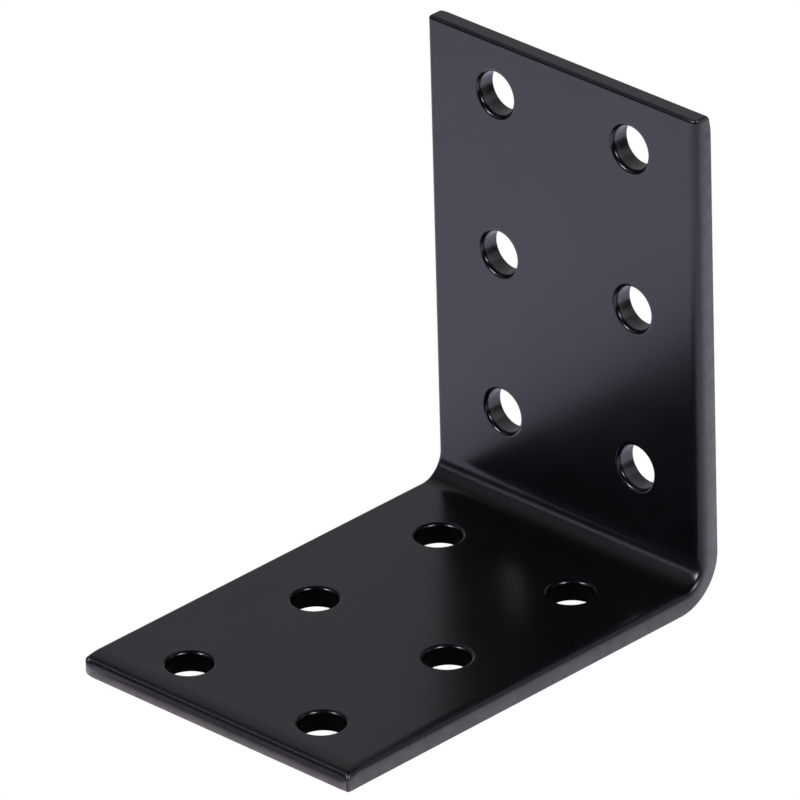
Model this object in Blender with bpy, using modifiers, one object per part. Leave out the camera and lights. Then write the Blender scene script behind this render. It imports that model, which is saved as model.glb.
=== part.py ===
"""Perforated angle bracket: a strip of coated sheet steel, punched, and folded once into an L.

The bracket is made here as it is made in the press. A blank is cut from strip, its faces roll
over towards the cuts, and it is folded through a right angle. The round holes then go through both
legs, each with the rolled rim that a punch leaves on the side it enters.

Metres, Z up. X runs across the strip, the flat leg lies along Y on Z = 0, and the upright leg
stands at the +Y end. The origin is under the middle of the flat leg.
"""

import math

import bmesh
import bpy
from mathutils import Matrix, Vector

# Overall sizes over the coat. Brackets of this kind are sold as 60 x 60 x 40 mm in 2.5 mm sheet.
WIDTH = 0.0409
FLAT_LEG = 0.0598  # from its free end to the back of the upright leg
UPRIGHT_LEG = 0.0606  # from the underside to its free end
SHEET = 0.0026

# The fold. The radii differ by more than the sheet, whose middle layers have their arcs between them.
INNER_RADIUS = 0.0030
OUTER_RADIUS = 0.0063
NEUTRAL_SHARE = 0.4  # how deep in the sheet the unstretched layer lies, from the inner face
FOLD_STEPS = 12

# The edges of the blank. A blade drags down the face that it enters: the sheet sags towards the cut
# and curls over right beside it. At the flat leg's end and the +X side that is the face inside the
# fold, and at the other two cuts it is the face outside.
EDGE_RADIUS = 0.00045
EDGE_STEPS = 3
END_SAG_LENGTH = 0.0025  # how far from a cut end the face begins to sag
END_SAG_DEPTH = 0.00038  # how deep it sags at the cut
END_CURL_LENGTH = 0.00105
END_CURL_DEPTH = 0.0013  # how much deeper the curl takes it, at the flat leg's end alone
CORNER_FADE = 0.0015  # how far from a side the curl of that end begins to fade out
SIDE_SAG_LENGTH = 0.0015
SIDE_SAG_DEPTH = 0.0002
SIDE_CURL_LENGTH = 0.00065
SIDE_CURL_DEPTH = 0.00045
CURL_STEPS = 3
SAG_STEPS = 2

# The holes: two columns of three on each leg
HOLE_DIAMETER = 0.0053
COLUMN_SPACING = 0.0205
ROW_PITCH = 0.0200
ROWS = 3
FLAT_END_DISTANCE = 0.0064  # from the free end of the flat leg to its first row
UPRIGHT_END_DISTANCE = 0.0066  # from the free end of the upright leg to its first row
INNER_RIM_RADIUS = 0.00045
OUTER_RIM_RADIUS = 0.0003
RIM_SWEEP = math.radians(70)  # a rim runs on straight from here, so that it cuts the face cleanly
RIM_STEPS = 2
HOLE_SEGMENTS = 32
PUNCH_OVERRUN = 0.0003  # how far a punch reaches past both faces

SMOOTH_ANGLE = math.radians(30)

# What follows from the sizes above
RADIUS_CHANGE = OUTER_RADIUS - INNER_RADIUS
FOLD_START = FLAT_LEG / 2 - OUTER_RADIUS
FOLD_ALLOWANCE = math.pi / 2 * (INNER_RADIUS + NEUTRAL_SHARE * RADIUS_CHANGE)
BLANK_START = -FLAT_LEG / 2
BLANK_END = FOLD_START + FOLD_ALLOWANCE + UPRIGHT_LEG - OUTER_RADIUS


def clear_scene():
    """Take away whatever the scene holds before the model is made."""
    for old in list(bpy.data.objects):
        bpy.data.objects.remove(old, do_unlink=True)


def new_collection(name):
    """A collection of this name, linked to the scene."""
    collection = bpy.data.collections.new(name)
    bpy.context.scene.collection.children.link(collection)
    return collection


def black_coating():
    """Satin black powder coat."""
    material = bpy.data.materials.new("black_coating")
    material.use_nodes = True
    shader = material.node_tree.nodes["Principled BSDF"]
    shader.inputs["Base Color"].default_value = (0.020, 0.020, 0.022, 1.0)
    shader.inputs["Roughness"].default_value = 0.35
    shader.inputs["Metallic"].default_value = 0.0
    return material


def divide(blank, stations, direction):
    """Divide the blank's faces by a plane at each station along this direction."""
    for station in stations:
        everything = blank.verts[:] + blank.edges[:] + blank.faces[:]
        bmesh.ops.bisect_plane(blank, geom=everything, plane_co=station * direction, plane_no=direction)


def roll_stations(curl_length, sag_length):
    """Distances from a cut at which to divide the blank, closer together where the curl is steeper."""
    curl = [curl_length * (1 - math.cos(math.pi / 2 * step / CURL_STEPS))
            for step in range(1, CURL_STEPS + 1)]
    sag = [curl_length + (sag_length - curl_length) * step / SAG_STEPS
           for step in range(1, SAG_STEPS + 1)]
    return curl + sag


def flat_blank():
    """The cut strip before its faces roll over: a plate with rounded edges."""
    blank = bmesh.new()
    middle = (BLANK_START + BLANK_END) / 2
    size = Matrix.Diagonal((WIDTH, BLANK_END - BLANK_START, SHEET, 1))
    bmesh.ops.create_cube(blank, size=1, matrix=Matrix.Translation((0, middle, SHEET / 2)) @ size)
    bmesh.ops.bevel(blank, geom=blank.edges[:], offset=EDGE_RADIUS, offset_type='OFFSET',
                    segments=EDGE_STEPS, profile=0.5, affect='EDGES', material=-1)
    across = Vector((1, 0, 0))
    along = Vector((0, 1, 0))
    for distance in roll_stations(SIDE_CURL_LENGTH, SIDE_SAG_LENGTH):
        divide(blank, (distance - WIDTH / 2, WIDTH / 2 - distance), across)
    for distance in roll_stations(END_CURL_LENGTH, END_SAG_LENGTH):
        divide(blank, (BLANK_START + distance, BLANK_END - distance), along)
    turns = [FOLD_START + FOLD_ALLOWANCE * step / FOLD_STEPS for step in range(FOLD_STEPS + 1)]
    divide(blank, turns, along)
    return blank


def near(distance, length):
    """1 at a cut, falling evenly to 0 at this length from it."""
    return max(1 - distance / length, 0)


def sag_at(distance, length, depth):
    """How deep a face sags at this distance from a cut."""
    return depth * near(distance, length) ** 2


def curl_at(distance, length, depth):
    """How much deeper the quarter round beside a cut takes the face at this distance from it."""
    return depth * (1 - math.sqrt(max(1 - near(distance, length) ** 2, 0)))


def side_roll(distance):
    """How deep a face rolls over at this distance from a side cut."""
    return (sag_at(distance, SIDE_SAG_LENGTH, SIDE_SAG_DEPTH)
            + curl_at(distance, SIDE_CURL_LENGTH, SIDE_CURL_DEPTH))


def rolled(point):
    """A point of the blank once its two faces roll over, each towards its own two cuts."""
    fade = 1 - near(WIDTH / 2 - abs(point.x), CORNER_FADE) ** 2
    from_start = point.y - BLANK_START
    inner = (sag_at(from_start, END_SAG_LENGTH, END_SAG_DEPTH)
             + fade * curl_at(from_start, END_CURL_LENGTH, END_CURL_DEPTH)
             + side_roll(WIDTH / 2 - point.x))
    outer = (sag_at(BLANK_END - point.y, END_SAG_LENGTH, END_SAG_DEPTH)
             + side_roll(WIDTH / 2 + point.x))
    share = point.z / SHEET
    return Vector((point.x, point.y, point.z - inner * share + outer * (1 - share)))


def folded(point):
    """A point of the blank once the strip is folded: Y is the way along the strip, Z the depth in it."""
    radius = OUTER_RADIUS - RADIUS_CHANGE * point.z / SHEET
    reach = point.z + radius  # from the outer faces' corner to where this layer's arc begins
    start = FLAT_LEG / 2 - reach
    allowance = FOLD_ALLOWANCE - 2 * (OUTER_RADIUS - reach)
    along = point.y - start
    if along <= 0:
        return point.copy()
    angle = min(along / allowance, 1) * math.pi / 2
    rise = max(along - allowance, 0)
    return Vector((point.x, start + radius * math.sin(angle), reach - radius * math.cos(angle) + rise))


def bracket_mesh():
    """The folded strip, without its holes."""
    blank = flat_blank()
    for vert in blank.verts:
        vert.co = folded(rolled(vert.co))
    mesh = bpy.data.meshes.new("bracket")
    blank.to_mesh(mesh)
    blank.free()
    return mesh


def rim_profile(radius, face, outward):
    """A rim's profile from the bore to past the face; outward is +1 up or -1 down."""
    bore = HOLE_DIAMETER / 2
    points = []
    for step in range(RIM_STEPS + 1):
        angle = RIM_SWEEP * step / RIM_STEPS
        depth = radius * (1 - math.sin(angle))
        points.append((bore + radius * (1 - math.cos(angle)), face - outward * depth))
    run = (depth + PUNCH_OVERRUN) * math.tan(RIM_SWEEP)
    points.append((points[-1][0] + run, face + outward * PUNCH_OVERRUN))
    return points


def punch_mesh():
    """The profile of a punch, from the axis at its top down its outer side to the axis below."""
    top = rim_profile(INNER_RIM_RADIUS, SHEET, 1)[::-1]
    bottom = rim_profile(OUTER_RIM_RADIUS, 0, -1)
    outer_side = [(0, top[0][1])] + top + bottom + [(0, bottom[-1][1])]
    mesh = bpy.data.meshes.new("punch")
    verts = [(x, 0, z) for x, z in outer_side]
    mesh.from_pydata(verts, [(i, i + 1) for i in range(len(verts) - 1)], [])
    return mesh


def hole_places():
    """Where each hole's axis meets the outer face, with the turn that points a punch to the inner face."""
    places = []
    for row in range(ROWS):
        for column in (-COLUMN_SPACING / 2, COLUMN_SPACING / 2):
            y = -FLAT_LEG / 2 + FLAT_END_DISTANCE + row * ROW_PITCH
            z = UPRIGHT_LEG - UPRIGHT_END_DISTANCE - row * ROW_PITCH
            places.append(("flat", (column, y, 0), 0))
            places.append(("upright", (column, FLAT_LEG / 2, z), math.pi / 2))
    return places


def add_punches(collection):
    """One turned cutter for each hole."""
    mesh = punch_mesh()
    punches = []
    for number, (leg, place, turn) in enumerate(hole_places(), start=1):
        punch = bpy.data.objects.new(f"punch_{leg}_{number:02d}", mesh)
        punch.location = place
        punch.rotation_euler = (turn, 0, 0)
        punch.hide_render = True
        punch.display_type = 'WIRE'
        screw = punch.modifiers.new("turn", 'SCREW')
        screw.axis = 'Z'
        screw.steps = HOLE_SEGMENTS
        screw.render_steps = HOLE_SEGMENTS
        screw.use_merge_vertices = True
        screw.merge_threshold = 0.00001
        collection.objects.link(punch)
        punches.append(punch)
    return punches


def add_bracket(collection, punches):
    """The folded strip with every hole cut through it."""
    bracket = bpy.data.objects.new("bracket", bracket_mesh())
    bracket.data.materials.append(black_coating())
    bracket.data.shade_smooth()
    bracket.data.set_sharp_from_angle(angle=SMOOTH_ANGLE)
    collection.objects.link(bracket)
    for punch in punches:
        cut = bracket.modifiers.new(punch.name, 'BOOLEAN')
        cut.operation = 'DIFFERENCE'
        cut.solver = 'EXACT'
        cut.object = punch
    return bracket


def build():
    """Make the whole model."""
    clear_scene()
    parts = new_collection("perforated_angle_bracket")
    cutters = new_collection("cutters")
    add_bracket(parts, add_punches(cutters))


build()
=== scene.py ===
# %% [markdown]
# A perforated angle bracket, as a lesson in cells.
#
# The real bracket is one strip of steel sheet. A press cuts the strip, punches twelve round holes
# in it and folds it once into an L, and a black powder coat is then baked over everything.
# The cells follow that order, because each stage leaves marks that the next one keeps: rounded
# edges, faces that roll over towards the cuts, rims round the holes, and a soft inner bend.
#
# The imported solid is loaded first. It gives the true size and place, and it is never moved.

# %% Load the fixed frame
import math

import bmesh
import bpy
from mathutils import Matrix, Quaternion, Vector


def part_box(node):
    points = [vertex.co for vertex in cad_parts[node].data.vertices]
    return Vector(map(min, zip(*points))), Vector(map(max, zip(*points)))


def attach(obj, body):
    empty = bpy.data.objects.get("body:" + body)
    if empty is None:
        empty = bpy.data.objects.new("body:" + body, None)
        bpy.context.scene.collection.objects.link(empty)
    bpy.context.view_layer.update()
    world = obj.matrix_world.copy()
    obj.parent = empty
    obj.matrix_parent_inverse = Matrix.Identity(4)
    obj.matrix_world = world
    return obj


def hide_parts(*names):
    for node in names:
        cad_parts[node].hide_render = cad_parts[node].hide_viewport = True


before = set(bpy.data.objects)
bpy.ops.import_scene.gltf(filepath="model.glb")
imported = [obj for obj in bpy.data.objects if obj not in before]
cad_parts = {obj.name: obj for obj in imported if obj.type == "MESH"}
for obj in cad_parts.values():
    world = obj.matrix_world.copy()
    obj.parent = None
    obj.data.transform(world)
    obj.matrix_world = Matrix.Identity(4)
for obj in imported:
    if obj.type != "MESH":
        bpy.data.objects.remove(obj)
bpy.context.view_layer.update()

# %% [markdown]
# The camera comes before the model, so that every later step can be judged through it.
# A long lens far away keeps the edges of a small product almost parallel. The camera is placed by
# two angles and a distance from the point it aims at, and then rolled a little about its own axis.

# %% Camera
AIM = Vector((-0.00052, 0.00104, 0.02925))
CAMERA_DISTANCE = 1.6295
CAMERA_AZIMUTH = 44.6188  # degrees, from straight in front of the bracket towards its +X side
CAMERA_ELEVATION = 27.7102  # degrees above level
CAMERA_ROLL = -1.5698  # degrees
LENS = 662.2  # mm
CLIP_START = 0.1
CLIP_END = 20.0


def direction(azimuth, elevation):
    """The unit vector that points this many degrees round from the front, and this many up."""
    around = math.radians(azimuth)
    up = math.radians(elevation)
    level = math.cos(up)
    return Vector((math.sin(around) * level, -math.cos(around) * level, math.sin(up)))


def add_camera():
    """A camera that looks at the aim point from the photograph's angle."""
    data = bpy.data.cameras.new("photo_camera")
    data.lens = LENS
    data.clip_start = CLIP_START
    data.clip_end = CLIP_END
    camera = bpy.data.objects.new("photo_camera", data)
    towards = direction(CAMERA_AZIMUTH, CAMERA_ELEVATION)
    camera.location = AIM + CAMERA_DISTANCE * towards
    roll = Quaternion((0, 0, 1), math.radians(CAMERA_ROLL))
    camera.rotation_mode = 'QUATERNION'
    camera.rotation_quaternion = towards.to_track_quat('Z', 'Y') @ roll
    bpy.context.scene.collection.objects.link(camera)
    bpy.context.scene.camera = camera
    return camera


camera = add_camera()
print("camera at", [round(value, 4) for value in camera.location])

# %% [markdown]
# The overall sizes are read from the solid's box. The rest are the sizes that a drawing of the
# bracket would state. The inner and outer radius differ by more than the sheet, because the bend
# has stretched it thinner. All lengths are in metres.

# %% Sizes
LOW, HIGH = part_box("bracket")
WIDTH = HIGH.x - LOW.x
FLAT_LEG = HIGH.y - LOW.y
UPRIGHT_LEG = HIGH.z - LOW.z
SHEET = 0.0026

INNER_RADIUS = 0.0030
OUTER_RADIUS = 0.0063
RADIUS_CHANGE = OUTER_RADIUS - INNER_RADIUS
NEUTRAL_SHARE = 0.4  # how deep in the sheet the unstretched layer lies, from the inner face
QUARTER_TURN = math.pi / 2
FOLD_ALLOWANCE = QUARTER_TURN * (INNER_RADIUS + NEUTRAL_SHARE * RADIUS_CHANGE)
FOLD_START = FLAT_LEG / 2 - OUTER_RADIUS
BLANK_START = -FLAT_LEG / 2
BLANK_END = FOLD_START + FOLD_ALLOWANCE + UPRIGHT_LEG - OUTER_RADIUS

print(f"blank: {WIDTH * 1000:.1f} mm wide, {(BLANK_END - BLANK_START) * 1000:.2f} mm long")

# %% [markdown]
# The blank is the flat strip before any other work. It could be drawn as an outline and given a
# thickness, but a cube scaled to size and bevelled is shorter, and the bevel keeps the arcs even.
# All twelve edges get the small radius that tumbling leaves on a cut edge, and the bevel rounds the
# eight corners with them. Two cuts along the walls hold their shading flat.

# %% Blank
EDGE_RADIUS = 0.00045
EDGE_SEGMENTS = 8
ARC_PROFILE = 0.5  # the bevel's profile that is a true arc
HOLD = 0.00006  # how far from an arc the next loop stands, to keep the shading of the flat there flat


def face_at(sheet, place):
    """The face whose middle is nearest to this place."""
    return min(sheet.faces, key=lambda face: (face.calc_center_median() - place).length)


def divide(sheet, stations, way):
    """Cut the sheet's faces with a plane at each station along this way."""
    for station in stations:
        everything = sheet.verts[:] + sheet.edges[:] + sheet.faces[:]
        bmesh.ops.bisect_plane(sheet, geom=everything, plane_co=station * way, plane_no=way)


ACROSS = Vector((1, 0, 0))
ALONG = Vector((0, 1, 0))
UP = Vector((0, 0, 1))
MIDDLE = Vector((0, (BLANK_START + BLANK_END) / 2, SHEET / 2))

sheet = bmesh.new()
size = Matrix.Diagonal((WIDTH, BLANK_END - BLANK_START, SHEET, 1))
bmesh.ops.create_cube(sheet, size=1, matrix=Matrix.Translation(MIDDLE) @ size)
bmesh.ops.bevel(sheet, geom=sheet.edges[:], offset=EDGE_RADIUS, offset_type='OFFSET',
                segments=EDGE_SEGMENTS, profile=ARC_PROFILE, affect='EDGES', material=-1)
divide(sheet, (EDGE_RADIUS + HOLD, SHEET - EDGE_RADIUS - HOLD), UP)
print("blank:", len(sheet.faces), "faces")

# %% [markdown]
# Each hole needs a patch of its own, so that its rings of faces never reach a neighbour.
# Cutting the strip along the borders of the patches gives one square face round each hole, on the
# inner and the outer side alike. The places come from the end distances and the pitch, and those
# of the upright leg are measured back from the blank's far end. The patches end short of every
# later cut, because two cuts in one line would leave faces too thin to shade.

# %% Patches for the holes
HOLE_DIAMETER = 0.0053
COLUMN_SPACING = 0.0205
ROW_PITCH = 0.0200
ROWS = 3
FLAT_END_DISTANCE = 0.0064  # from the free end of the flat leg to its first row
UPRIGHT_END_DISTANCE = 0.0066  # from the free end of the upright leg to its first row
PATCH = 0.0074  # how wide the square face round each hole is

COLUMNS = (-COLUMN_SPACING / 2, COLUMN_SPACING / 2)
FLAT_ROWS = [BLANK_START + FLAT_END_DISTANCE + row * ROW_PITCH for row in range(ROWS)]
UPRIGHT_ROWS = [BLANK_END - UPRIGHT_END_DISTANCE - row * ROW_PITCH for row in range(ROWS)]


def borders(centres):
    """The two borders of the patch round each of these centres."""
    return [centre + side * PATCH / 2 for centre in centres for side in (-1, 1)]


divide(sheet, borders(COLUMNS), ACROSS)
divide(sheet, borders(FLAT_ROWS + UPRIGHT_ROWS), ALONG)
holes = [Vector((x, y, 0)) for y in FLAT_ROWS + UPRIGHT_ROWS for x in COLUMNS]
print("patches:", len(holes), "on each side")

# %% [markdown]
# A punch drags the sheet down round the hole, so the rim on the side that it enters is a
# generous quarter round, and the rim where it leaves is a smaller one. A Boolean would cut the
# hole in one go, but it leaves long thin faces that spoil a glossy surface. Here the patch's own
# border is split, extruded in place and pushed to a circle. The next rings walk down a quarter arc
# into the bore, and bridging the two open borders makes the wall.

# %% Punch the holes
BORE = HOLE_DIAMETER / 2
INNER_RIM_RADIUS = 0.00045
OUTER_RIM_RADIUS = 0.0003
BURNISH = 0.0002  # how far the smooth part of a bore reaches below the rim
RIM_STEPS = 7
RIM_SEGMENTS = 96  # points round each hole, shared out over the four borders of its patch


def ring(sheet, face, centre, radius, height):
    """Extrude the face in place and push its border to a circle of this radius at this height."""
    face = bmesh.ops.extrude_discrete_faces(sheet, faces=[face])["faces"][0]
    for vert in face.verts:
        outward = Vector((vert.co.x - centre.x, vert.co.y - centre.y, 0)).normalized()
        vert.co = centre + radius * outward + height * UP
    return face


def open_side(sheet, centre, rim_radius, height, inward):
    """Roll the rim on one side of a hole and return the open border of its bore."""
    face = face_at(sheet, centre + height * UP)
    cuts = RIM_SEGMENTS // len(face.edges) - 1
    bmesh.ops.bisect_edges(sheet, edges=list(face.edges), cuts=cuts)
    face = ring(sheet, face, centre, BORE + rim_radius + HOLD, height)
    for step in range(RIM_STEPS + 1):
        angle = QUARTER_TURN * step / RIM_STEPS
        radius = BORE + rim_radius * (1 - math.sin(angle))
        depth = rim_radius * (1 - math.cos(angle))
        face = ring(sheet, face, centre, radius, height + inward * depth)
    for below in (HOLD, BURNISH, BURNISH + HOLD):
        face = ring(sheet, face, centre, BORE, height + inward * (rim_radius + below))
    border = list(face.edges)
    bmesh.ops.delete(sheet, geom=[face], context='FACES_ONLY')
    return border


for centre in holes:
    entry = open_side(sheet, centre, INNER_RIM_RADIUS, SHEET, -1)
    leaving = open_side(sheet, centre, OUTER_RIM_RADIUS, 0, 1)
    bmesh.ops.bridge_loops(sheet, edges=entry + leaving)
print("punched:", len(holes), "holes,", len(sheet.faces), "faces")

# %% [markdown]
# The strip is divided now, wherever it will curve later. Beside the cuts the faces will sag and curl
# over, and the stations stand closer together where the curl is steeper. Even steps across the bend
# let it come out round.

# %% Divide the strip
END_SAG_LENGTH = 0.0025  # how far from a cut end the face begins to sag
END_CURL_LENGTH = 0.0007  # and how far from it the curl begins
SIDE_SAG_LENGTH = 0.0015
SIDE_CURL_LENGTH = 0.00065
CURL_STEPS = 10
SAG_STEPS = 6
FOLD_STEPS = 40


def roll_stations(curl_length, sag_length):
    """Distances from a cut at which to divide the strip."""
    curl = [curl_length * (1 - math.cos(QUARTER_TURN * step / CURL_STEPS))
            for step in range(1, CURL_STEPS + 1)]
    sag = [curl_length + (sag_length - curl_length) * step / SAG_STEPS
           for step in range(1, SAG_STEPS + 1)]
    return curl + sag


for distance in roll_stations(SIDE_CURL_LENGTH, SIDE_SAG_LENGTH):
    divide(sheet, (distance - WIDTH / 2, WIDTH / 2 - distance), ACROSS)
for distance in roll_stations(END_CURL_LENGTH, END_SAG_LENGTH):
    divide(sheet, (BLANK_START + distance, BLANK_END - distance), ALONG)
divide(sheet, [FOLD_START + FOLD_ALLOWANCE * step / FOLD_STEPS for step in range(FOLD_STEPS + 1)], ALONG)
print("divided:", len(sheet.faces), "faces")

# %% [markdown]
# Powder clings badly to a torn wall, so the coat is thin there and a pale grey comes through: on
# the walls round the strip, most towards the outer face, where the sheet broke instead of being
# cut, and in the upright's holes below their rims. The upright's free end is the cleanest cut.
# Along both sides the coat is also duller. Each point gets two numbers while the strip is still
# flat, one for how bare it is and one for how dull, and they travel with it through the fold.

# %% Mark the bare walls and the dull borders
SIDE_BARENESS = 0.49  # of the side walls at the outer face, where 1 would be no coat at all
TORN_SHARE = 0.6  # how much of that is gone at the inner face
START_BARENESS = 1.0  # of the wall at the flat leg's free end, at the outer face
START_TORN_SHARE = 0.75  # how much of that is gone at the inner face, most of it near there
END_BARENESS = 0.05  # of the wall at the upright leg's free end
BORE_BARENESS = 0.22  # of the walls in the upright leg's holes
BARE_REACH = 0.0002  # how far from a wall the bareness reaches
START_REACH = 0.00004  # the same at the flat leg's free end, so that the curl there stays coated
DULL_REACH = 0.0008  # how far in from a side the dullness reaches


def fade_out(distance, length):
    """1 at a cut, falling evenly to 0 at this length from it."""
    return max(1 - distance / length, 0)


def bareness(point):
    """How thin the coat is at this point of the flat strip, from 0 to 1."""
    torn_side = SIDE_BARENESS * (1 - TORN_SHARE * point.z / SHEET)
    side = torn_side * fade_out(WIDTH / 2 - abs(point.x), BARE_REACH)
    torn_start = START_BARENESS * (1 - START_TORN_SHARE * (point.z / SHEET) ** 2)
    start = torn_start * fade_out(point.y - BLANK_START, START_REACH)
    end = END_BARENESS * fade_out(BLANK_END - point.y, BARE_REACH)
    nearest = min(math.hypot(point.x - x, point.y - y) for x in COLUMNS for y in UPRIGHT_ROWS)
    below_rim = point.z < SHEET - INNER_RIM_RADIUS - BURNISH
    return max(side, start, end, below_rim * BORE_BARENESS * fade_out(nearest - BORE, BARE_REACH))


def dullness(point):
    """How dull the coat is at this point of the flat strip, from 0 to 1."""
    return fade_out(WIDTH / 2 - abs(point.x), DULL_REACH)


bare = sheet.verts.layers.float.new("bare")
dull = sheet.verts.layers.float.new("dull")
for vert in sheet.verts:
    vert[bare] = bareness(vert.co)
    vert[dull] = max(vert[bare], dullness(vert.co))
print("bare points:", sum(vert[bare] > 0 for vert in sheet.verts))

# %% [markdown]
# A blade presses on the sheet before it cuts, so the face that it enters sags towards the cut and
# curls over right beside it. On this bracket the inner face does so at the flat leg's end and along
# the +X side, and the outer face at the other two cuts. Each point moves by a formula. The sag falls
# off with the square of the distance, which meets the flat face without a crease, and the curl is
# a quarter of an ellipse. At the flat leg's end the curl is much the deepest, and it fades
# towards the corners.

# %% Roll over towards the cuts
END_SAG_DEPTH = 0.00038
END_CURL_DEPTH = 0.0013  # how much deeper the curl takes the face, at the flat leg's end alone
CORNER_FADE = 0.0015  # how far from a side the curl of that end begins to fade out
SIDE_SAG_DEPTH = 0.0002
SIDE_CURL_DEPTH = 0.00045


def sag_at(distance, length, depth):
    """How deep a face sags at this distance from a cut."""
    return depth * fade_out(distance, length) ** 2


def curl_at(distance, length, depth):
    """How much deeper the quarter round beside a cut takes the face at this distance from it."""
    return depth * (1 - math.sqrt(max(1 - fade_out(distance, length) ** 2, 0)))


def side_roll(distance):
    """How deep a face rolls over at this distance from a side cut."""
    return (sag_at(distance, SIDE_SAG_LENGTH, SIDE_SAG_DEPTH)
            + curl_at(distance, SIDE_CURL_LENGTH, SIDE_CURL_DEPTH))


def rolled(point):
    """A point of the flat strip once its two faces roll over, each towards its own two cuts."""
    corner_fade = 1 - fade_out(WIDTH / 2 - abs(point.x), CORNER_FADE) ** 2
    from_start = point.y - BLANK_START
    inner = (sag_at(from_start, END_SAG_LENGTH, END_SAG_DEPTH)
             + corner_fade * curl_at(from_start, END_CURL_LENGTH, END_CURL_DEPTH)
             + side_roll(WIDTH / 2 - point.x))
    outer = (sag_at(BLANK_END - point.y, END_SAG_LENGTH, END_SAG_DEPTH)
             + side_roll(WIDTH / 2 + point.x))
    share = point.z / SHEET
    return Vector((point.x, point.y, point.z - inner * share + outer * (1 - share)))


for vert in sheet.verts:
    vert.co = rolled(vert.co)
print("rolled over:", len(sheet.verts), "points")

# %% [markdown]
# The fold is one formula too. Along the strip, a point before the bend stays where it is, a point
# in the bend turns about an axis by its share of a right angle, and a point past it rises. The
# bend has stretched the sheet thinner, so each layer has an arc of its own between the two radii.
# The layer that keeps its length lies nearer the inner face and sets the allowance.

# %% Fold
def folded(point):
    """A point once the strip is folded: Y is its way along the strip, Z its depth in it."""
    radius = OUTER_RADIUS - RADIUS_CHANGE * point.z / SHEET
    reach = point.z + radius  # from the outer faces' corner to where this layer's arc begins
    start = FLAT_LEG / 2 - reach
    allowance = FOLD_ALLOWANCE - 2 * (OUTER_RADIUS - reach)
    along = point.y - start
    if along <= 0:
        return point.copy()
    angle = min(along / allowance, 1) * QUARTER_TURN
    rise = max(along - allowance, 0)
    return Vector((point.x, start + radius * math.sin(angle), reach - radius * math.cos(angle) + rise))


for vert in sheet.verts:
    vert.co = folded(vert.co)
sheet.normal_update()
print("closed:", all(edge.is_manifold for edge in sheet.edges),
      f"volume: {sheet.calc_volume(signed=True) * 1e9:.1f} cubic mm")

# %% [markdown]
# The mesh becomes one object at the origin. It rides on the body of the imported solid and takes its
# place in the picture.

# %% The finished piece
mesh = bpy.data.meshes.new("angle_bracket")
sheet.to_mesh(mesh)
sheet.free()
mesh.shade_smooth()
angle_bracket = bpy.data.objects.new("angle_bracket", mesh)
bpy.context.scene.collection.objects.link(angle_bracket)
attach(angle_bracket, "root")
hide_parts("bracket")
mesh.calc_loop_triangles()
print("angle_bracket:", len(mesh.loop_triangles), "triangles")

# %% [markdown]
# Powder coat is dry paint melted into a skin. It flows out almost flat, with a shallow waviness
# like orange peel, and it isn't equally glossy everywhere. One group puts out the waviness as a
# normal, and the other puts out a patchy value for the roughness. The coat on the faces and the thin
# coat on the torn walls both use the second one, each with values of its own.

# %% Node helpers
PEEL_DETAIL = 2
GLOSS_DETAIL = 3
GLOSS_SPAN = (0.3, 0.7)  # the noise of the gloss lies mostly between these values


def new_group(name, inputs, outputs):
    """An empty node group with these sockets, and its input and output nodes."""
    group = bpy.data.node_groups.new(name, 'ShaderNodeTree')
    for label, kind in inputs:
        group.interface.new_socket(label, in_out='INPUT', socket_type=kind)
    for label, kind in outputs:
        group.interface.new_socket(label, in_out='OUTPUT', socket_type=kind)
    return group, group.nodes.new('NodeGroupInput'), group.nodes.new('NodeGroupOutput')


def feed(tree, socket, value):
    """Link the socket if the value comes from another socket, or else set it."""
    if isinstance(value, bpy.types.NodeSocket):
        tree.links.new(value, socket)
    else:
        socket.default_value = value


def noise(tree, vector, scale, detail):
    """A noise texture on this vector."""
    node = tree.nodes.new('ShaderNodeTexNoise')
    for label, value in (("Vector", vector), ("Scale", scale), ("Detail", detail)):
        feed(tree, node.inputs[label], value)
    return node.outputs["Fac"]


def math_node(tree, operation, first, second):
    """A Math node on two sockets or numbers."""
    node = tree.nodes.new('ShaderNodeMath')
    node.operation = operation
    for socket, value in zip(node.inputs, (first, second)):
        feed(tree, socket, value)
    return node.outputs[0]


def ramp(tree, value, span, result=(0.0, 1.0)):
    """A smooth ramp that turns one span of values into another and holds its ends past them."""
    node = tree.nodes.new('ShaderNodeMapRange')
    node.interpolation_type = 'SMOOTHSTEP'
    for label, number in zip(("From Min", "From Max", "To Min", "To Max"), (*span, *result)):
        node.inputs[label].default_value = number
    tree.links.new(value, node.inputs["Value"])
    return node.outputs["Result"]


def mix_colour(tree, factor, first, second):
    """A colour mixed from two colours or sockets."""
    node = tree.nodes.new('ShaderNodeMix')
    node.data_type = 'RGBA'
    tree.links.new(factor, node.inputs["Factor"])
    for label, value in (("A", first), ("B", second)):
        socket = next(s for s in node.inputs if s.name == label and s.type == 'RGBA')
        feed(tree, socket, value)
    return next(s for s in node.outputs if s.type == 'RGBA')


def orange_peel_group():
    """The shallow waviness of the coat, as a normal."""
    group, entry, leave = new_group(
        "orange_peel",
        (("Vector", 'NodeSocketVector'), ("Scale", 'NodeSocketFloat'), ("Depth", 'NodeSocketFloat')),
        (("Normal", 'NodeSocketVector'),))
    wave = noise(group, entry.outputs["Vector"], entry.outputs["Scale"], PEEL_DETAIL)
    bump = group.nodes.new('ShaderNodeBump')
    bump.inputs["Strength"].default_value = 1.0
    group.links.new(entry.outputs["Depth"], bump.inputs["Distance"])
    group.links.new(wave, bump.inputs["Height"])
    group.links.new(bump.outputs["Normal"], leave.inputs["Normal"])
    return group


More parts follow.
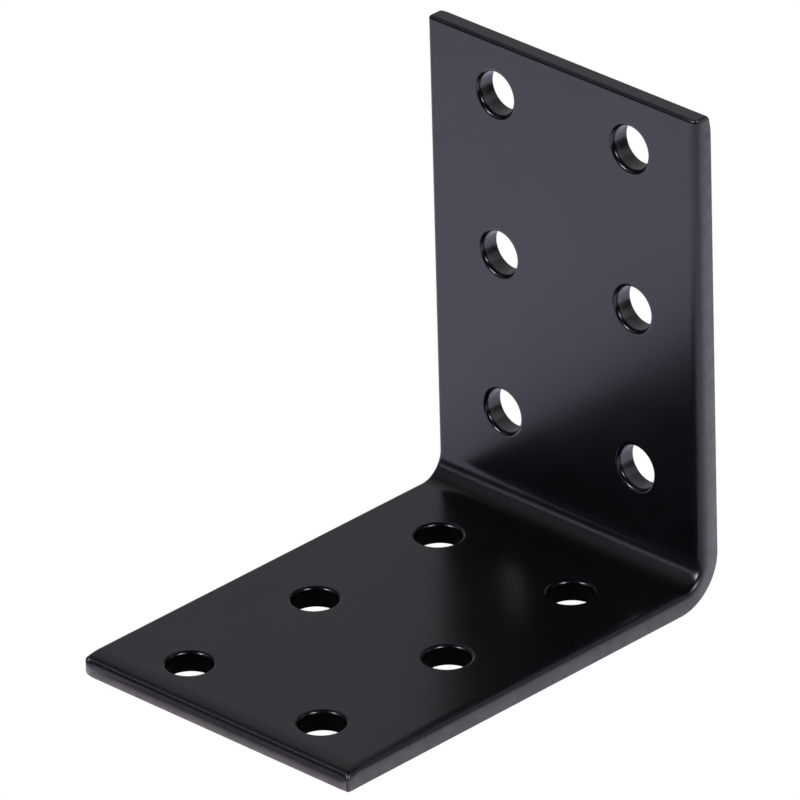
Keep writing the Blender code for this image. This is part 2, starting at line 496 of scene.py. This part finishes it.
def gloss_patches_group():
    """Slow changes of gloss over the coat, as a roughness."""
    group, entry, leave = new_group(
        "gloss_patches",
        (("Vector", 'NodeSocketVector'), ("Scale", 'NodeSocketFloat'),
         ("Glossy", 'NodeSocketFloat'), ("Dull", 'NodeSocketFloat')),
        (("Roughness", 'NodeSocketFloat'),))
    patches = noise(group, entry.outputs["Vector"], entry.outputs["Scale"], GLOSS_DETAIL)
    spread = ramp(group, patches, GLOSS_SPAN)
    span = math_node(group, 'SUBTRACT', entry.outputs["Dull"], entry.outputs["Glossy"])
    rise = math_node(group, 'MULTIPLY', spread, span)
    total = math_node(group, 'ADD', rise, entry.outputs["Glossy"])
    group.links.new(total, leave.inputs["Roughness"])
    return group


ORANGE_PEEL = orange_peel_group()
GLOSS_PATCHES = gloss_patches_group()
print("groups:", [group.name for group in bpy.data.node_groups])

# %% [markdown]
# The coat itself is a dielectric: dark pigment in a clear binder. What shows of it is mostly
# reflection, so its base colour is close to black and the roughness does the work. Where it is
# thin, the warm grey of the torn steel comes through in blotches, and the surface is rougher.

# %% The black powder coat
COAT_BLACK = (0.0005, 0.0005, 0.0009, 1.0)
COAT_SOOT = (0.0011, 0.0011, 0.0016, 1.0)
TORN_GREY = (0.185, 0.166, 0.141, 1.0)
TORN_PALE = (0.252, 0.230, 0.198, 1.0)
TONE_SCALE = 180.0
TONE_DETAIL = 4
TONE_SPAN = (0.35, 0.65)
BLOTCH_SCALE = 700.0
BLOTCH_DETAIL = 3
BLOTCH_SPAN = (0.3, 0.7)
COAT_IOR = 1.5
COAT_PEEL = {"Scale": 900.0, "Depth": 0.0000015}
COAT_GLOSS = {"Scale": 120.0, "Glossy": 0.22, "Dull": 0.25}
TORN_GLOSS = {"Scale": 400.0, "Glossy": 0.33, "Dull": 0.40}


def place_group(tree, group, vector, values):
    """The group in this material, with its own values."""
    node = tree.nodes.new('ShaderNodeGroup')
    node.node_tree = group
    tree.links.new(vector, node.inputs["Vector"])
    for label, value in values.items():
        node.inputs[label].default_value = value
    return node.outputs[0]


def mix_value(tree, factor, first, second):
    """A value mixed from two sockets."""
    node = tree.nodes.new('ShaderNodeMix')
    for label, socket in (("Factor", factor), ("A", first), ("B", second)):
        tree.links.new(socket, node.inputs[label])
    return node.outputs["Result"]


def mark(tree, name):
    """The number of this name that each point carries."""
    node = tree.nodes.new('ShaderNodeAttribute')
    node.attribute_name = name
    return node.outputs["Fac"]


def black_powder_coat():
    """The coat, thick on the faces and thin on the torn walls."""
    material = bpy.data.materials.new("black_powder_coat")
    material.use_nodes = True
    tree = material.node_tree
    shader = tree.nodes["Principled BSDF"]
    place = tree.nodes.new('ShaderNodeTexCoord').outputs["Object"]
    bare = mark(tree, "bare")
    dull = mark(tree, "dull")

    tone = ramp(tree, noise(tree, place, TONE_SCALE, TONE_DETAIL), TONE_SPAN)
    coat = mix_colour(tree, tone, COAT_BLACK, COAT_SOOT)
    blotch = ramp(tree, noise(tree, place, BLOTCH_SCALE, BLOTCH_DETAIL), BLOTCH_SPAN)
    torn = mix_colour(tree, blotch, TORN_GREY, TORN_PALE)
    tree.links.new(mix_colour(tree, bare, coat, torn), shader.inputs["Base Color"])

    coat_gloss = place_group(tree, GLOSS_PATCHES, place, COAT_GLOSS)
    torn_gloss = place_group(tree, GLOSS_PATCHES, place, TORN_GLOSS)
    tree.links.new(mix_value(tree, dull, coat_gloss, torn_gloss), shader.inputs["Roughness"])
    tree.links.new(place_group(tree, ORANGE_PEEL, place, COAT_PEEL), shader.inputs["Normal"])
    shader.inputs["IOR"].default_value = COAT_IOR
    return material


mesh.materials.append(black_powder_coat())
print("materials:", [material.name for material in mesh.materials])

# %% [markdown]
# Catalogue pictures of small hardware are cut out, so the floor shows pure white and no shadow.
# The coat is a mirror to the real table though, and what it shows is a pale table with soft
# shadows on it. The floor here is both: plain white to the camera, and a lit pale table to
# every other ray. That table is a small one in a dark room. Its colour is painted dark under the
# bracket as a painted shadow, with painted shade along both sides and in front, and a little
# light of its own stands for the rest of the studio's.

# %% Floor
FLOOR_HALF = 4.0
TABLE_COLOUR = (0.90, 0.85, 0.96, 1.0)
# the colour of the painted shadow near the bracket, and of the dark room past the table
TABLE_DARK = (0.02, 0.02, 0.02, 1.0)
TABLE_ROUGHNESS = 0.9
TABLE_EDGE = 0.0004  # how soft the border of the painted shadow under the bracket is
LEFT_SHADE = (0.020, 0.3)  # how wide the painted shade beside the flat leg is, and how deep next to it
RIGHT_SHADE = (0.012, 0.4)
FRONT_SHADE = (0.030, 0.7)  # the same in front of the flat leg's free end
TABLE_NEAR = 0.12  # how far from the bracket the table begins to fade into the dark
TABLE_FAR = 0.20
TABLE_LIGHT = (0.60, 0.575, 0.745, 1.0)
CUT_OUT_WHITE = (1.0, 1.0, 1.0, 1.0)


def within(tree, value, half):
    """1 where the value is no further from 0 than this half width, with a soft border inside it."""
    above = ramp(tree, value, (-half, TABLE_EDGE - half))
    below = ramp(tree, value, (half - TABLE_EDGE, half), (1.0, 0.0))
    return math_node(tree, 'MULTIPLY', above, below)


def shade_below(tree, value, edge, shade):
    """Shade outside an edge below 0: it grows up to the edge, keeps its depth, and ends at 0."""
    width, depth = shade
    growing = ramp(tree, value, (edge - width, edge), (0.0, depth))
    return math_node(tree, 'MULTIPLY', growing, math_node(tree, 'LESS_THAN', value, 0.0))


def shade_above(tree, value, edge, shade):
    """Shade outside an edge above 0: it begins at 0, keeps its depth, and fades out past the edge."""
    width, depth = shade
    fading = ramp(tree, value, (edge, edge + width), (depth, 0.0))
    return math_node(tree, 'MULTIPLY', fading, math_node(tree, 'GREATER_THAN', value, 0.0))


def table_shade(tree):
    """How dark the table is painted at each place, from 0 to 1: painted shade near the bracket, and the
    dark room past the table.
    """
    place = tree.nodes.new('ShaderNodeTexCoord').outputs["Object"]
    split = tree.nodes.new('ShaderNodeSeparateXYZ')
    tree.links.new(place, split.inputs["Vector"])
    across = split.outputs["X"]
    along = split.outputs["Y"]
    length = within(tree, along, FLAT_LEG / 2)
    under = within(tree, across, WIDTH / 2)
    left = shade_below(tree, across, -WIDTH / 2, LEFT_SHADE)
    right = shade_above(tree, across, WIDTH / 2, RIGHT_SHADE)
    sides = math_node(tree, 'MAXIMUM', left, right)
    beside = math_node(tree, 'MULTIPLY', length, math_node(tree, 'MAXIMUM', under, sides))
    front = math_node(tree, 'MULTIPLY', under, shade_below(tree, along, -FLAT_LEG / 2, FRONT_SHADE))
    close = math_node(tree, 'MAXIMUM', beside, front)
    radius = tree.nodes.new('ShaderNodeVectorMath')
    radius.operation = 'LENGTH'
    tree.links.new(place, radius.inputs[0])
    far = ramp(tree, radius.outputs["Value"], (TABLE_NEAR, TABLE_FAR))
    return math_node(tree, 'MAXIMUM', close, far)


def floor_material():
    """A pale table that the camera sees as plain white."""
    material = bpy.data.materials.new("pale_table")
    material.use_nodes = True
    tree = material.node_tree
    table = tree.nodes["Principled BSDF"]
    shade = table_shade(tree)
    # the painted shade darkens both the table's colour and its own light
    for label, colour in (("Base Color", TABLE_COLOUR), ("Emission Color", TABLE_LIGHT)):
        tree.links.new(mix_colour(tree, shade, colour, TABLE_DARK), table.inputs[label])
    table.inputs["Emission Strength"].default_value = 1.0
    table.inputs["Roughness"].default_value = TABLE_ROUGHNESS
    table.inputs["Specular IOR Level"].default_value = 0.0
    white = tree.nodes.new('ShaderNodeEmission')
    white.inputs["Color"].default_value = CUT_OUT_WHITE
    choice = tree.nodes.new('ShaderNodeMixShader')
    seen = tree.nodes.new('ShaderNodeLightPath').outputs["Is Camera Ray"]
    tree.links.new(seen, choice.inputs["Fac"])
    tree.links.new(table.outputs["BSDF"], choice.inputs[1])
    tree.links.new(white.outputs["Emission"], choice.inputs[2])
    tree.links.new(choice.outputs["Shader"], tree.nodes["Material Output"].inputs["Surface"])
    return material


def add_floor():
    """A large flat floor under the bracket."""
    plane = bmesh.new()
    bmesh.ops.create_grid(plane, x_segments=1, y_segments=1, size=FLOOR_HALF)
    data = bpy.data.meshes.new("floor")
    plane.to_mesh(data)
    plane.free()
    data.materials.append(floor_material())
    floor = bpy.data.objects.new("floor", data)
    bpy.context.scene.collection.objects.link(floor)


add_floor()
print("floor:", 2 * FLOOR_HALF, "m square")

# %% [markdown]
# Two softboxes light the table, and each leaves a bright spot on the rim of every hole. A long
# low strip further left is much weaker. It runs as a thin streak along the bend and the rolled end.
# The places of the spots and of the streak tell where the three stand. A dim panel behind on the
# right softens the shade of the rolled right side. The light of all four is slightly blue.

# %% Softboxes
SOFTBOX_DISTANCE = 1.2
LIGHT_COLOUR = (1.0, 1.0, 1.2)
SOFTBOXES = (  # the name, the azimuth and elevation in degrees, the width and height, and the watts
    ("left_softbox", -16, 33, 0.30, 0.30, 7.5),
    ("right_softbox", 82, 35, 0.30, 0.30, 7.5),
    ("left_strip", -42, 20, 0.45, 0.06, 0.25),
    ("back_panel", 140, 29, 0.50, 0.60, 0.6),
)


def add_softbox(name, azimuth, elevation, width, height, power):
    """A softbox that faces the bracket from this side, unseen by the camera."""
    data = bpy.data.lights.new(name, 'AREA')
    data.shape = 'RECTANGLE'
    data.size = width
    data.size_y = height
    data.energy = power
    data.color = LIGHT_COLOUR
    softbox = bpy.data.objects.new(name, data)
    towards = direction(azimuth, elevation)
    softbox.location = AIM + SOFTBOX_DISTANCE * towards
    softbox.rotation_euler = towards.to_track_quat('Z', 'Y').to_euler()
    softbox.visible_camera = False
    bpy.context.scene.collection.objects.link(softbox)


for softbox in SOFTBOXES:
    add_softbox(*softbox)
print("softboxes:", len(SOFTBOXES))

# %% [markdown]
# The flat leg mirrors what is behind the bracket on the left, and shows a soft grey there. The
# bend mirrors the left side too, and shows a narrow grey band between black ones. So the room is
# dark but for two soft glows, each of which fades with the angle from its middle. The camera sees
# plain white where it looks past the floor.

# %% World
ROOM_DARK = (0.01, 0.01, 0.012, 1.0)
GLOWS = (  # the azimuth and elevation, how far out it is full and has faded, in degrees, and the colour
    (-148, 22, 22, 68, (0.405, 0.39, 0.435, 1.0)),
    (-60, 45, 8, 20, (0.28, 0.27, 0.30, 1.0)),
)


def build_world():
    """The dim room with its glows, and white for the camera."""
    world = bpy.data.worlds.new("studio_room")
    world.use_nodes = True
    tree = world.node_tree
    way = tree.nodes.new('ShaderNodeTexCoord').outputs["Generated"]
    room = ROOM_DARK
    for azimuth, elevation, full, faded, colour in GLOWS:
        cosine = tree.nodes.new('ShaderNodeVectorMath')
        cosine.operation = 'DOT_PRODUCT'
        cosine.inputs[1].default_value = direction(azimuth, elevation)
        tree.links.new(way, cosine.inputs[0])
        span = (math.cos(math.radians(faded)), math.cos(math.radians(full)))
        glow = ramp(tree, cosine.outputs["Value"], span)
        room = mix_colour(tree, glow, room, colour)
    seen = tree.nodes.new('ShaderNodeLightPath').outputs["Is Camera Ray"]
    background = tree.nodes["Background"]
    tree.links.new(mix_colour(tree, seen, room, CUT_OUT_WHITE), background.inputs["Color"])
    bpy.context.scene.world = world


build_world()
bpy.context.scene.view_settings.view_transform = 'Standard'
print("world:", bpy.context.scene.world.name)
